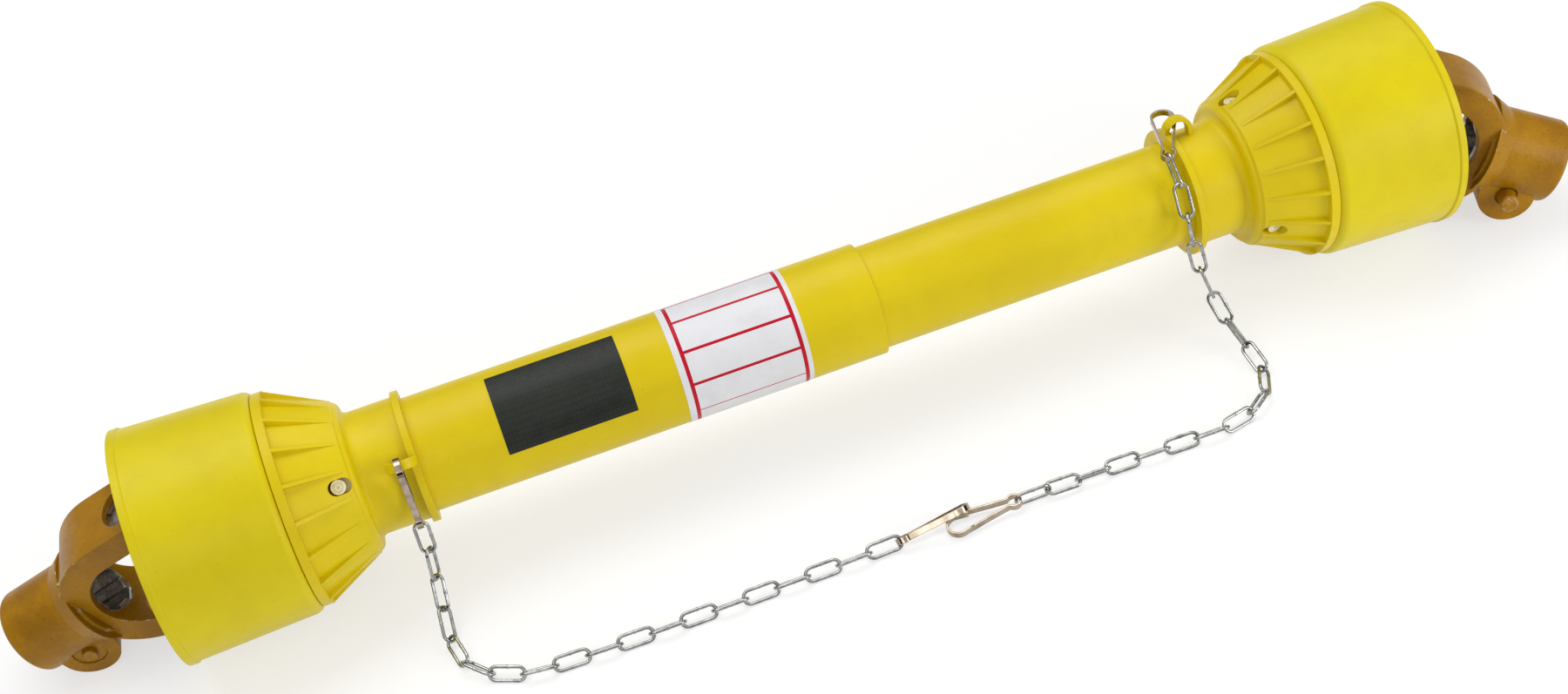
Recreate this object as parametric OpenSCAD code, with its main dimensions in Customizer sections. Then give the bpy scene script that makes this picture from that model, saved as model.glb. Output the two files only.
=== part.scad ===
// Guarded agricultural drive shaft, laid on a flat surface at its closed length.
// Two universal joints, a telescoping profile tube inside a plastic guard,
// and a guard chain in two halves that lies on the surface in front.
// Millimetres. X runs along the shaft, Z is up, and Z = 0 is the surface.

/* [Shaft] */
// Distance between the two joint centres
joint_span = 812; // [780:1:860]
// Yaw of the left end yoke about its leaning pin
left_yaw = 6; // [0:1:12]
// Yaw of the right end yoke about its leaning pin
right_yaw = -23; // [-26:1:0]

/* [Guard bell] */
// Radius of the bell at its rim
rim_r = 75; // [73:0.5:80]
// Distance from the rim in to the joint centre
rim_in = 14.7; // [8:0.1:20]
// Length of the bell from rim to seam
bell_len = 85; // [80:1:95]
// Radius of the bell where its shoulder starts
bell_back_r = 71; // [70:0.5:72]
// Wall of the bell
bell_wall = 2.8; // [2:0.1:3.5]
// Width of the lip band at the rim
lip_w = 5; // [3:0.5:8]
// Height of the lip band over the bell wall
lip_h = 0.8; // [0.4:0.1:1.2]
// Radius of the rounded shoulder
shoulder_r = 6; // [4:0.5:8]

/* [Guard cone] */
// Length of the cone from seam to small end
cone_len = 46; // [44:0.5:50]
// Radius of the ring band at the big end
cone_big_r = 68; // [66:0.5:69]
// Radius at the small end
cone_small_r = 47.5; // [46.5:0.25:49]
// Wall of the cone
cone_wall = 3; // [2.4:0.1:3.4]
// Width of the ring band
band_w = 6; // [4:0.5:8]
// How far the ribs stand up at the band
rib_h = 4.5; // [3:0.5:5.5]
// Thickness of a rib
rib_t = 2.4; // [1.8:0.1:3]
// Number of ribs, with each slot midway between two of them
rib_n = 18; // [12:3:24]
// Length of a bearing slot along the cone
slot_len = 14; // [12:0.5:15]
// Width of a bearing slot
slot_w = 9.6; // [9:0.1:10.5]

/* [Neck and chain loop] */
// Length of the neck with its flange
neck_len = 36.5; // [34:0.5:40]
// Wall of the neck on the outer guard tube
left_neck_wall = 2.8; // [2:0.1:3.4]
// Wall of the neck on the inner guard tube
right_neck_wall = 4; // [3:0.1:5]
// Radius of the flange ring
flange_r = 42; // [41:0.25:42.5]
// Thickness of the flange ring
flange_t = 4.5; // [3:0.25:5]
// Length of the chain loop along the neck
loop_len = 19; // [18:0.5:20]
// Width of the loop strap
loop_w = 6; // [5:0.5:6.5]
// Thickness of the loop strap
loop_t = 3; // [2.5:0.25:3.25]
// Free height under the loop
loop_gap = 11; // [10.75:0.25:12]
// Angle of the left loop above the front horizontal
left_loop_a = 41; // [36:1:46]
// Angle of the right loop above the front horizontal
right_loop_a = 105; // [103:1:107]

/* [Guard tubes] */
// Outer radius of the outer guard tube
guard_r = 36.3; // [36:0.1:36.6]
// Wall of the outer guard tube
guard_wall = 2.6; // [2.2:0.1:2.8]
// Radial gap between the two guard tubes
guard_gap = 0.3; // [0.2:0.05:0.6]
// Wall of the inner guard tube
inner_guard_wall = 2.5; // [2:0.1:3]
// Length of the outer guard tube
guard_len = 331; // [300:1:345]
// Gap from the end of the inner guard tube to the far cone
inner_guard_gap = 12.4; // [5:0.1:40]

/* [Drive tubes] */
// Distance of a lobe's centre from the axis
lobe_d = 12; // [11:0.25:12.5]
// Radius of a lobe of the outer drive tube
lobe_r = 13; // [12.5:0.25:13.25]
// Wall of both drive tubes
tube_wall = 4; // [3.25:0.25:4.25]
// Sliding clearance between the drive tubes
tube_fit = 0.1; // [0.05:0.01:0.15]
// Gap from the end of the outer drive tube to the far neck
drive_gap = 3; // [2:0.5:40]
// Gap from the end of the inner drive tube to the far yoke
inner_drive_gap = 10.5; // [5:0.5:50]

/* [Yokes] */
// Width over the ears
fork_w = 92; // [90:0.5:94]
// Free width between the ears
fork_gap = 57; // [56:0.5:58]
// Radius of an ear about its pin
ear_r = 22; // [21:0.5:23]
// Distance from the joint centre to the start of the fork's bend
fork_leg = 29; // [26:0.5:31]
// Radius of the end yoke's hub
hub_r = 27.5; // [26.5:0.25:28]
// Distance from the joint centre to the end of the end yoke
hub_end = 116; // [112:1:120]
// Radius of the inner yoke's hub
inner_hub_r = 31; // [30:0.25:32]
// Distance from the joint centre to the end of the inner yoke
inner_hub_end = 114; // [113:0.5:115]
// Depth of the profile socket in the inner yoke
socket_depth = 41; // [36:1:44]
// Radius of the roll pin
roll_pin_r = 5; // [4:0.25:5]

/* [Splined bore] */
// Radius over the grooves of the bore
spline_major_r = 17.65; // [17.5:0.05:17.8]
// Radius over the teeth of the bore
spline_minor_r = 14.85; // [14.7:0.05:15]
// Width of a groove
spline_groove_w = 8.7; // [8.4:0.1:9]
// Number of grooves
spline_n = 6; // [6]

/* [Push pin] */
// Distance of the pin from the joint centre
pin_x = 90; // [88:0.5:91]
// Distance of the pin's axis from the hub axis
pin_drop = 22; // [21:0.25:23]
// Radius of the pin's body
pin_r = 7; // [6.5:0.1:7.2]
// Radius of the pin's button
button_r = 6; // [5:0.1:6.2]
// Radius of the pin's tail
tail_r = 4.5; // [4:0.1:4.8]
// How far the button stands out
button_out = 11; // [10:0.5:12]
// Travel of the pin when it is pushed
pin_travel = 8; // [6:0.5:8]
// Radius of the boss round the pin
boss_r = 18.5; // [18:0.25:19]
// Length of the boss along the pin
boss_len = 42; // [41:0.5:44]

/* [Joint crosses] */
// Radius of a bearing cap
cap_r = 15.1; // [14.5:0.05:15.5]
// Width over two opposite bearing caps
cross_w = 80; // [79:0.25:81]
// Radius of a trunnion
trunnion_r = 11; // [10:0.1:11.5]

/* [Bearing ring] */
// Width of the bearing ring in its groove
ring_w = 9.8; // [9:0.1:10.5]
// Radius of the groove's floor in the inner yoke
groove_r = 27.5; // [27:0.25:28]

/* [Chain] */
// Thickness of the link wire
wire_d = 2.2; // [2:0.05:2.3]
// Inner length of a link
link_in = 20.2; // [20:0.1:20.6]
// Inner width of a link
link_in_w = 6.2; // [6:0.1:6.6]
// Number of links in the left chain
left_links = 19; // [18:1:19]
// Number of links in the right chain
right_links = 18; // [17:1:18]

/* [Clips] */
// Inner length of a spring clip
clip_in = 48; // [47.5:0.25:48.5]
// Outer width of its wide end
clip_wide = 17; // [16:0.25:17.5]
// Outer width of its narrow eye
clip_eye = 10; // [9.5:0.25:10.5]
// Thickness of the spring strip
strip_t = 1.2; // [1:0.1:1.3]
// Width of the spring strip
strip_w = 4; // [3.5:0.1:4]

/* [Hidden] */

$fn = 96;
wire_fn = 16;
hair = 0.05;        // gap between pieces that are fixed together
side_gap = 0.15;    // running gap on a flat side
spin_gap = 0.1;     // running gap on a radius
seat_gap = 0.3;     // gap between loose links
over = 1;           // overrun of a cut

// Place of the left joint centre in the part's frame: the middle of the
// whole footprint lies over the origin.
shaft_y = 35;
shaft_x = -joint_span / 2 + 3;
plastic = "#dfcb32";
paint = "#a5730f";
steel = "#b9bec2";

// The boss of the push pin comes to rest on the surface. The lean that
// brings it there is found in a few steps, as the yaw tips the boss too.
function boss_tip(lean, yaw) = sin(lean) * sin(abs(yaw));
function boss_reach(lean, yaw) = boss_r * sqrt(1 - pow(boss_tip(lean, yaw), 2))
    + boss_len / 2 * boss_tip(lean, yaw);
function lean_step(lean, yaw) =
    let (a = pin_x * cos(yaw), b = pin_drop, c = rim_r - 0.1 - boss_reach(lean, yaw))
    asin(c / sqrt(a * a + b * b)) - atan2(b, a);
function lean_of(yaw, n = 8, lean = 20) =
    n == 0 ? lean : lean_of(yaw, n - 1, lean_step(lean, yaw));
left_lean = lean_of(left_yaw);
right_lean = lean_of(right_yaw);

half_span = fork_w / 2;
half_gap = fork_gap / 2;
half_cross = cross_w / 2;
fork_base = fork_leg + half_span;
cone_end = bell_len - rim_in + cone_len;     // small end, from the joint centre
seam_x = bell_len - rim_in;
neck_end = cone_end + neck_len;
guard_bore = guard_r - guard_wall;
inner_guard_r = guard_bore - guard_gap;
left_neck_r = guard_r + left_neck_wall;
right_neck_r = inner_guard_r + right_neck_wall;
end_wall = 3;                                // wall across the cone's small end
ring_x = cone_end - end_wall - ring_w - side_gap;
tube_stop = 1.5;                             // tube end to the floor of its socket
tube_start = inner_hub_end - socket_depth + tube_stop;
tube_seat = 1;                               // guard tube end to the cone's small end
drive_len = joint_span - tube_start - neck_end - drive_gap;
inner_drive_len = joint_span - tube_start - inner_hub_end - inner_drive_gap;
inner_guard_len = joint_span - 2 * cone_end - tube_seat - inner_guard_gap;
small_inset = tube_wall + tube_fit;          // inner drive tube inside the outer one

module shaft_frame() { translate([shaft_x, shaft_y, rim_r]) children(); }
module left_end() { shaft_frame() children(); }
module right_end() { shaft_frame() translate([joint_span, 0, 0]) rotate([0, 0, 180]) children(); }

// Turns a profile drawn as [radius, distance] about the shaft axis.
module turned() { rotate([90, 0, 90]) rotate_extrude() children(); }
module disc(r, x0, x1) { translate([x0, 0, 0]) rotate([0, 90, 0]) cylinder(r = r, h = x1 - x0); }
module across_y(r, y0, y1) { translate([0, y0, 0]) rotate([-90, 0, 0]) cylinder(r = r, h = y1 - y0); }

// Guard. Each bell and cone is drawn from its own joint centre inwards.
module bell() {
    front_r = rim_r - lip_h;
    color(plastic) turned() difference() {
        union() {
            bell_outline(front_r, bell_back_r, seam_x, shoulder_r);
            polygon([[front_r - 1, -rim_in], [rim_r, -rim_in], [rim_r, lip_w - lip_h - rim_in],
                [front_r, lip_w - rim_in], [front_r - 1, lip_w - rim_in]]);
        }
        bell_outline(front_r - bell_wall, bell_back_r - bell_wall, seam_x - bell_wall, shoulder_r - bell_wall);
        translate([0, -rim_in - over]) square([front_r - bell_wall, over + hair]);
        // the back is open where the cone plugs in
        translate([0, seam_x - bell_wall - over]) square([plug_r + hair, bell_wall + 2 * over]);
    }
}

// Half section of a bell: drafted side, rounded shoulder and flat back.
module bell_outline(front, back, end_x, fillet) {
    polygon([[0, -rim_in], [front, -rim_in], [back, seam_x - shoulder_r], [back, end_x - fillet],
        [back - fillet, end_x], [0, end_x]]);
    translate([back - fillet, end_x - fillet]) circle(r = fillet);
}
plug_r = cone_big_r - rib_h - cone_wall + 1.5;

// Cone surface between the ribs, as radius against distance from the small end.
function cone_r(d) = cone_small_r + (cone_big_r - rib_h - cone_small_r) * d / (cone_len - band_w);

module cone_shell(neck_r, tube_r) {
    corner = 4;
    fillet = 4;
    small_x = cone_end;
    band_x = seam_x + band_w;
    difference() {
        turned() difference() {
            union() {
                polygon([[0, seam_x + hair], [cone_big_r, seam_x + hair], [cone_big_r, band_x],
                    [cone_r(cone_len - band_w), band_x], [cone_r(corner), small_x - corner],
                    [cone_small_r - corner, small_x], [0, small_x]]);
                translate([cone_small_r - corner + 0.15, small_x - corner]) circle(r = corner);
                translate([0, small_x - over]) square([neck_r, neck_len + over]);
                translate([0, small_x - over]) difference() {
                    square([neck_r + fillet, fillet + over]);
                    translate([neck_r + fillet, fillet + over]) circle(r = fillet);
                }
                translate([0, neck_end - flange_t]) square([flange_r, flange_t]);
                // spigot that plugs into the bell
                translate([0, seam_x - bell_wall - 1.2]) square([plug_r, bell_wall + 2]);
            }
            polygon([[0, seam_x - bell_wall - over - 2], [plug_r - cone_wall, seam_x - bell_wall - over - 2],
                [plug_r - cone_wall, seam_x + 2], [cone_r(6) - cone_wall, ring_x - 4], [ring_seat_r, ring_x - 3],
                [ring_seat_r, small_x - end_wall], [0, small_x - end_wall]]);
            translate([0, small_x - end_wall - over]) square([tube_r + hair, neck_len + end_wall + 2 * over]);
        }
        slots();
    }
}
ring_seat_r = cone_small_r - cone_wall - 0.4;
slot_x = cone_end - end_wall - slot_len / 2 - 0.6;

module slots() {
    for (k = [0:2]) rotate([k * 120, 0, 0]) translate([slot_x, 0, 0]) {
        for (side = [-1, 1]) translate([side * (slot_len - slot_w) / 2, 0, ring_seat_r - 3])
            cylinder(d = slot_w, h = 14);
        translate([-(slot_len - slot_w) / 2, -slot_w / 2, ring_seat_r - 3]) cube([slot_len - slot_w, slot_w, 14]);
    }
}

// Thin tapering ribs, flush with the band and running out towards the small end.
module ribs() {
    fade = 6;
    step = 360 / rib_n;
    for (k = [0:rib_n - 1]) rotate([(k + 0.5) * step, 0, 0])
        rotate([90, 0, 0]) linear_extrude(height = rib_t, center = true)
            polygon([[seam_x + band_w - 0.5, cone_big_r], [seam_x + band_w - 0.5, cone_big_r - rib_h - 1.5],
                [cone_end - fade, cone_r(fade) - 1.5], [cone_end - fade, cone_r(fade) + 0.1]]);
}

// Moulded strap that holds the chain clip, standing at 12 o'clock.
module chain_loop(neck_r) {
    top_r = neck_r + loop_gap + loop_t;
    bend = loop_len / 2;
    mid_x = neck_end - bend;
    rotate([90, 0, 0]) linear_extrude(height = loop_w, center = true) difference() {
        union() {
            translate([mid_x, top_r - bend]) circle(r = bend);
            translate([mid_x - bend, neck_r - 1]) square([loop_len, top_r - bend - neck_r + 1]);
        }
        translate([mid_x - loop_len, neck_r - 1 - loop_len]) square([2 * loop_len, loop_len]);
        translate([mid_x, top_r - bend]) circle(r = bend - loop_t);
        translate([mid_x - bend + loop_t, neck_r - 2]) square([loop_len - 2 * loop_t, top_r - bend - neck_r + 2]);
    }
}

module cone(neck_r, tube_r, loop_a, slot_a) {
    color(plastic) {
        rotate([slot_a, 0, 0]) {
            cone_shell(neck_r, tube_r);
            ribs();
        }
        rotate([loop_a, 0, 0]) chain_loop(neck_r);
    }
}

// Nylon ring, split so that it can be sprung into the yoke's groove, with
// three round lugs that stand in the slots of the cone.
module bearing_ring(slot_a) {
    lug_r = slot_w / 2 - 0.3;
    lug_top = ring_seat_r + 5.2;
    dimple_r = 1;
    dimple_t = 1;
    ridge_r = lug_r - 1.4;
    ridge_w = 0.8;
    ridge_t = 0.6;
    color("#e8e0c8") rotate([slot_a, 0, 0]) difference() {
        union() {
            turned() translate([groove_r + spin_gap, ring_x]) square([ring_seat_r - 0.1 - groove_r - spin_gap, ring_w]);
            for (k = [0:2]) rotate([k * 120, 0, 0]) translate([slot_x - 1, 0, ring_seat_r - 4])
                cylinder(r = lug_r, h = lug_top - ring_seat_r + 4);
        }
        for (k = [0:2]) rotate([k * 120, 0, 0]) translate([slot_x - 1, 0, lug_top]) {
            translate([0, 0, -dimple_t]) cylinder(r = dimple_r, h = dimple_t + over);
            translate([0, 0, -ridge_t]) difference() {
                cylinder(r = ridge_r, h = ridge_t + over);
                translate([0, 0, -over]) cylinder(r = ridge_r - ridge_w, h = ridge_t + 3 * over);
            }
        }
        rotate([60, 0, 0]) translate([ring_x - over, -1, 0]) cube([ring_w + 2 * over, 2, ring_seat_r + over]);
    }
}

// Three-lobed drive profile: the lobes' arcs in short flats, joined by long ones.
function polar(r, a) = [r * cos(a), r * sin(a)];
module lobed_bar(inset, length) {
    arc_step = 7.5;
    rotate([90, 0, 90]) linear_extrude(height = length) polygon([for (k = [0:2]) for (a = [-60:arc_step:60])
        polar(lobe_d, k * 120) + polar(lobe_r - inset, k * 120 + a)]);
}

// Horseshoe fork with its ears on the Z axis and its hub towards +X.
module fork() {
    intersection() {
        rotate([90, 0, 0]) linear_extrude(height = 4 * ear_r, center = true) difference() {
            union() {
                translate([-2 * ear_r, -half_span]) square([fork_leg + 2 * ear_r, fork_w]);
                translate([fork_leg, 0]) circle(r = half_span);
            }
            translate([-2 * ear_r - over, -half_gap]) square([fork_leg + 2 * ear_r + over, fork_gap]);
            translate([fork_leg, 0]) circle(r = half_gap);
        }
        linear_extrude(height = 2 * fork_w, center = true) union() {
            circle(r = ear_r);
            translate([0, -ear_r]) square([fork_base + over, 2 * ear_r]);
        }
    }
}

module ear_bores() {
    groove_t = 1.7;
    translate([0, 0, -fork_w]) cylinder(r = cap_r + 0.02, h = 2 * fork_w);
    for (side = [0, 180]) rotate([side, 0, 0]) translate([0, 0, half_cross]) cylinder(r = cap_r + 1.1, h = groove_t);
}

// End yoke: fork, splined hub and the boss of the push pin below it.
module end_yoke() {
    edge = 3;
    bend_out = 5;
    color(paint) difference() {
        union() {
            fork();
            turned() difference() {
                union() {
                    translate([0, fork_base - 12]) square([hub_r, hub_end - fork_base + 12 - edge]);
                    translate([0, hub_end - edge - over]) square([hub_r - edge, edge + over]);
                    translate([hub_r - edge, hub_end - edge]) circle(r = edge);
                    polygon([[0, fork_base - 10], [hub_r + bend_out, fork_base - 10], [hub_r, fork_base + 1], [0, fork_base + 1]]);
                }
                translate([-2 * hub_r, 0]) square([2 * hub_r, hub_end + over]);
            }
            boss();
        }
        translate([fork_leg, 0, 0]) rotate([90, 0, 0]) cylinder(r = half_gap, h = 3 * ear_r, center = true);
        spline_bore();
        ear_bores();
        pin_bores();
    }
}

module boss() {
    rotate([90, 0, 0]) linear_extrude(height = boss_len, center = true) union() {
        translate([pin_x, -pin_drop]) circle(r = boss_r);
        translate([pin_x - boss_r, -pin_drop]) square([2 * boss_r, pin_drop]);
    }
}

module spline_bore() {
    x0 = fork_leg + half_gap - 5;
    chamfer = 1.5;
    disc(spline_minor_r, x0, hub_end + over);
    intersection() {
        disc(spline_major_r, x0, hub_end + over);
        for (k = [0:spline_n / 2 - 1]) rotate([k * 360 / spline_n, 0, 0])
            translate([x0, -spline_groove_w / 2, -2 * spline_major_r])
                cube([hub_end + over - x0, spline_groove_w, 4 * spline_major_r]);
    }
    turned() polygon([[0, hub_end - chamfer], [spline_major_r - chamfer, hub_end - chamfer],
        [spline_major_r + over, hub_end + over], [0, hub_end + over]]);
}

// Stations along the pin, from the middle of the boss.
face_y = boss_len / 2;
collar_t = 2;
washer_t = 2;
washer_sink = 1;
spring_room = 6;                             // left for the spring when the pin is pushed home
washer_y = face_y - washer_sink - washer_t;
shoulder_y = washer_y - spring_room - pin_travel - collar_t;
chamber_r = pin_r + 2;
washer_r = 10.5;

module pin_place() { translate([pin_x, 0, -pin_drop]) children(); }

module pin_bores() {
    pin_place() {
        across_y(pin_r + spin_gap, -hub_r, shoulder_y + over);
        across_y(chamber_r, shoulder_y, hub_r);
        across_y(washer_r + hair, washer_y, hub_r);
    }
}

module push_pin() {
    waist_y = -face_y + 4;
    waist_len = 8;
    waist_r = 5;
    chamfer = 1.2;
    tail_out = 3;
    color(paint) pin_place() rotate([-90, 0, 0]) rotate_extrude() polygon([
        [0, -face_y - button_out], [button_r - chamfer, -face_y - button_out],
        [button_r, -face_y - button_out + chamfer], [button_r, -face_y + 1], [pin_r, -face_y + 2],
        [pin_r, waist_y], [waist_r, waist_y + 1.5], [waist_r, waist_y + waist_len], [pin_r, waist_y + waist_len + 1.5],
        [pin_r, shoulder_y + side_gap], [chamber_r - spin_gap, shoulder_y + side_gap],
        [chamber_r - spin_gap, shoulder_y + collar_t], [tail_r, shoulder_y + collar_t],
        [tail_r, face_y + tail_out - 0.6], [tail_r - 0.6, face_y + tail_out], [0, face_y + tail_out]]);
}

module pin_washer() {
    color(paint) pin_place() difference() {
        across_y(washer_r, washer_y, washer_y + washer_t);
        across_y(tail_r + spin_gap, washer_y - over, washer_y + washer_t + over);
    }
}

// Coil spring round the pin's tail, swept along its helix.
module pin_spring() {
    wire = 1.3;
    turns = 3.5;
    coil_r = tail_r + 1.2 + wire / 2;
    y0 = shoulder_y + collar_t + wire / 2 + hair;
    y1 = washer_y - wire / 2 - hair;
    sides = 6;
    steps = 54;
    points = [for (i = [0:steps]) let (a = 360 * turns * i / steps, y = y0 + (y1 - y0) * i / steps)
        for (k = [0:sides - 1]) let (b = 360 * k / sides, r = coil_r + wire / 2 * cos(b))
            [r * cos(a), y + wire / 2 * sin(b), r * sin(a)]];
    walls = [for (i = [0:steps - 1]) for (k = [0:sides - 1]) let (n = (k + 1) % sides)
        [i * sides + k, (i + 1) * sides + k, (i + 1) * sides + n, i * sides + n]];
    first = [for (k = [0:sides - 1]) k];
    last = [for (k = [sides - 1:-1:0]) steps * sides + k];
    color(steel) pin_place() polyhedron(points = points, faces = concat(walls, [first, last]));
}

// Inner yoke: fork with its ears on Y, and a hub that takes the drive tube.
module inner_yoke(inset) {
    socket_x = inner_hub_end - socket_depth;
    color(paint) difference() {
        union() {
            rotate([90, 0, 0]) fork();
            disc(inner_hub_r, fork_base - 12, inner_hub_end);
        }
        translate([fork_leg, 0, 0]) cylinder(r = half_gap, h = 3 * ear_r, center = true);
        rotate([90, 0, 0]) ear_bores();
        turned() translate([groove_r, ring_x - side_gap]) square([inner_hub_r, ring_w + 2 * side_gap]);
        translate([socket_x, 0, 0]) lobed_bar(inset - hair, socket_depth + over);
        translate([roll_pin_x, 0, -fork_w]) cylinder(r = roll_pin_r + 0.02, h = 2 * fork_w);
    }
}
roll_pin_x = inner_hub_end - socket_depth + 14;

module drive_tube(inset, length) {
    color(steel) difference() {
        translate([tube_start, 0, 0]) lobed_bar(inset, length);
        translate([tube_start - over, 0, 0]) lobed_bar(inset + tube_wall, length + 2 * over);
        translate([roll_pin_x, 0, -fork_w]) cylinder(r = roll_pin_r + 0.02, h = 2 * fork_w);
    }
}

// Slotted spring pin through yoke and tube.
module roll_pin() {
    wall = 2;
    color(steel) translate([roll_pin_x, 0, -inner_hub_r + 0.5]) difference() {
        cylinder(r = roll_pin_r, h = 2 * inner_hub_r - 1);
        translate([0, 0, -over]) cylinder(r = roll_pin_r - wall, h = 2 * inner_hub_r + 2);
        translate([0, -0.6, -over]) cube([2 * roll_pin_r, 1.2, 2 * inner_hub_r + 2]);
    }
}

// Cross with a trunnion on each arm. The outer yoke's arms lie on Z.
trunnion_end = half_cross - 3 - side_gap;
cap_len = half_cross - 20;
module cross() {
    shoulder = 14;
    core = 17;
    color(steel) difference() {
        union() {
            sphere(r = core);
            for (turn = [0, 90]) rotate([turn, 0, 0]) {
                cylinder(r = trunnion_r, h = 2 * trunnion_end, center = true);
                cylinder(r = shoulder, h = 2 * (half_cross - cap_len - side_gap), center = true);
            }
        }
        rotate([45, 0, 0]) translate([0, 0, nipple_seat]) cylinder(r = 5, h = core);
    }
}

module cap_pair() {
    color(steel) for (side = [0, 180]) rotate([side, 0, 0]) difference() {
        translate([0, 0, half_cross - cap_len]) cylinder(r = cap_r, h = cap_len);
        translate([0, 0, half_cross - cap_len - over]) cylinder(r = trunnion_r + hair, h = cap_len - 3 + over);
    }
}

module circlip_pair() {
    clip_t = 1.5;
    color(steel) for (side = [0, 180]) rotate([side, 0, 0]) translate([0, 0, half_cross + hair]) rotate([0, 0, 15])
        rotate_extrude(angle = 330) translate([cap_r - 2.6, 0]) square([3.6, clip_t]);
}

// Greasing point on a spot face between two arms of the cross.
nipple_seat = 16;
module grease_nipple() {
    color("#c8a850") rotate([45, 0, 0]) translate([0, 0, nipple_seat]) {
        cylinder(r = 4, h = 4, $fn = 6);
        cylinder(r = 2.2, h = 8);
        translate([0, 0, 8]) sphere(r = 2.8);
    }
}

// Spring clip of bent strip. Its wide end's inner apex is at the origin, and
// its narrow eye's inner apex is at clip_in along +X. The gate is where the
// strip's two ends lap at the wide end.
waist_x = clip_in + strip_t - clip_eye - 4;
waist_w = 5.5;
lap = strip_t + 0.25;
wide_r = clip_wide / 2;
eye_r = clip_eye / 2;
wide_x = wide_r - strip_t;
eye_x = clip_in + strip_t - eye_r;

module clip_body(inset, h) {
    bow_r = wide_r - inset - 0.1;
    side_w = waist_w / 2 + strip_t - inset;
    eye_w = eye_r * 0.55 - inset * 0.9;
    translate([wide_x, 0, 0]) cylinder(r = wide_r - inset, h = h, center = true, $fn = 48);
    translate([eye_x, 0, 0]) cylinder(r = eye_r - inset, h = h, center = true, $fn = 32);
    linear_extrude(height = h, center = true) polygon([[wide_x, bow_r], [waist_x, side_w], [eye_x, eye_w],
        [eye_x, -eye_w], [waist_x, -side_w], [wide_x, -bow_r]]);
}

module clip() {
    tail = 9;
    lap_join = 0.2;
    side_a = atan((wide_r - waist_w / 2 - strip_t) / (waist_x - wide_x));
    arc_r = wide_r - lap / 2;
    color("#c9c2b4") {
        difference() {
            clip_body(0, strip_w);
            clip_body(strip_t, strip_w + 2 * over);
            translate([-2 * strip_t, -wide_r - over, -strip_w]) cube([wide_x + 2 * strip_t, clip_wide + 2 * over, 2 * strip_w]);
        }
        difference() {
            translate([wide_x, -lap / 2, 0]) cylinder(r = arc_r, h = strip_w, center = true, $fn = 48);
            translate([wide_x, -lap / 2, 0]) cylinder(r = arc_r - strip_t, h = strip_w + over, center = true, $fn = 48);
            translate([wide_x + lap_join, -clip_wide, -strip_w]) cube([clip_wide, 2 * clip_wide, 2 * strip_w]);
        }
        translate([wide_x - lap_join, wide_r - lap, -strip_w / 2]) rotate([0, 0, -side_a])
            translate([0, -strip_t, 0]) cube([tail, strip_t, strip_w]);
    }
}

// Link of round wire, lying along Z with its width on Y.
module link() {
    bend_r = (link_in_w + wire_d) / 2;
    leg = link_in + wire_d - 2 * bend_r;
    for (side = [0, 180]) rotate([side, 0, 0]) translate([0, 0, leg / 2]) rotate([90, 0, 90])
        rotate_extrude(angle = 180, $fn = 24) translate([bend_r, 0]) circle(d = wire_d, $fn = wire_fn);
    for (side = [-1, 1]) translate([0, side * bend_r, -leg / 2]) cylinder(d = wire_d, h = leg, $fn = wire_fn);
}

// Puts a child that lies along Z from one point to another.
module along(p, q, roll) {
    d = q - p;
    translate((p + q) / 2) rotate([0, acos(d.z / norm(d)), atan2(d.y, d.x)]) rotate([0, 0, roll]) children();
}

// The chain hangs from its clip and then lies on the surface. A chain is
// limp, so its route is a list of chosen points and its links step along it.
// Towards its end it rises a little, onto the edge of the end clip.
lay_z = (link_in_w + wire_d) / 2 * sin(45) + wire_d / 2 + hair - rim_r;
link_seat = 1.05;
hang_a = 14;
left_loop_r = left_neck_r + loop_gap + loop_t;
left_strap_x = neck_end - flange_t - 7;
left_strap = [left_strap_x, -cos(left_loop_a) * left_loop_r, sin(left_loop_a) * left_loop_r]
    + loop_w / 2 * [0, sin(left_loop_a), cos(left_loop_a)];
left_hang = clip_in - lap / 2 - side_gap - link_seat;
left_eye = left_strap + left_hang * [0, -sin(hang_a), -cos(hang_a)];
left_route = [left_eye, left_eye + [-0.3, -3.5, -18], [139.3, -57, -45], [137, -70, -60], [134.8, -87.5, -69],
    [137.6, -106.5, lay_z], [149.4, -122.5, lay_z], [167, -132, lay_z], [187, -135, lay_z],
    [240, -137, lay_z], [370, -137, lay_z], [500, -137, lay_z + 4]];
// The right clip lies over the flange, and its link hooks over the strip's upper edge.
right_hook = [joint_span - neck_end - 8.9, -15.5, 44.9];
right_wide = right_hook + [17.4, 44.5, -1.7];
right_eye = right_hook + [-0.6, 0, 1.3];
right_drop = [[0.7, -14.5, -13.4], [0.2, -25.5, -29.4], [0.7, -31.5, -47.9], [2.7, -36.5, -66.9],
    [7.2, -43, -84.9], [12.2, -53, -101.4], [17.2, -69, -112.4]];
right_lay = [[-142.5, -104, 0], [-150, -122.5, 0], [-165.5, -135, 0], [-185, -139.7, 0], [-205, -139.7, 0],
    [-237, -139, 0], [-265, -138.9, 0.66], [-287, -138.7, 0.7], [-306, -138.5, 1.22], [-420, -138, 1.4]];
right_route = concat([right_eye], [for (p = right_drop) right_eye + p],
    [for (p = right_lay) p + [joint_span, 0, lay_z]]);
pitch = link_in - seat_gap;

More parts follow.
